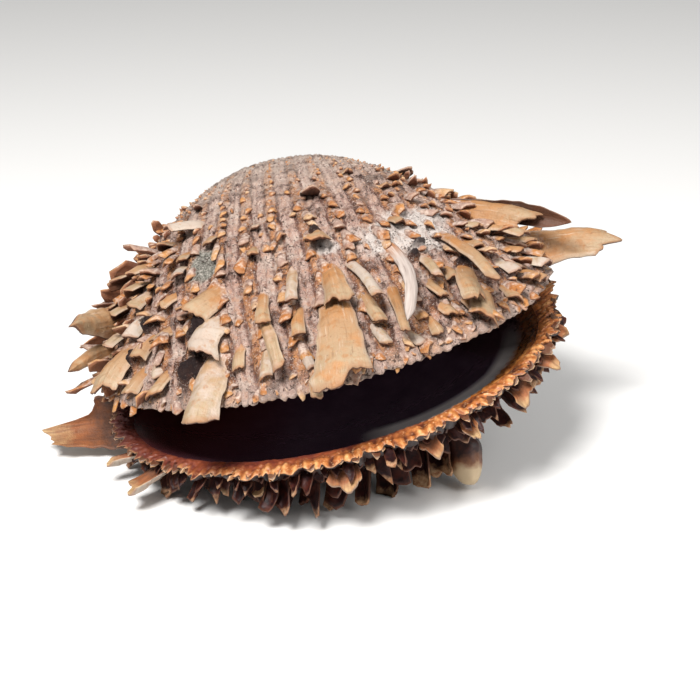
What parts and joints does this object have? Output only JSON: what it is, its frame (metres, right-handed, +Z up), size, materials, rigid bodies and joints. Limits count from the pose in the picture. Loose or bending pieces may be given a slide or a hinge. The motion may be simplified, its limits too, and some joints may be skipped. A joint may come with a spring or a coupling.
{
  "type": "spiny oyster shell",
  "caption": "Spiny oyster shell, both ribbed halves still hinged and gaping, with long leafy spines and a frilled rim, resting on the flat scar under its lower half.",
  "frame": {"origin": "in the middle of the flat attachment scar under the lower half", "axes": "+Z up from the scar, the gaping front lips towards -Y, the hinge towards +Y, the longest spines along X"},
  "size_m": [0.1229, 0.1034, 0.0606],
  "materials": {
    "upper_shell": "dry, granular mauve-grey crust with tan and orange spines",
    "lower_shell": "satin orange-brown rim, dark maroon inside and outside, tan spine tips",
    "ligament": "dark, horny, slightly glossy"
  },
  "bodies": {
    "root": {"upper_valve": "upper_shell", "lower_valve": "lower_shell", "hinge_ligament": "ligament"}
  },
  "joints": []
}
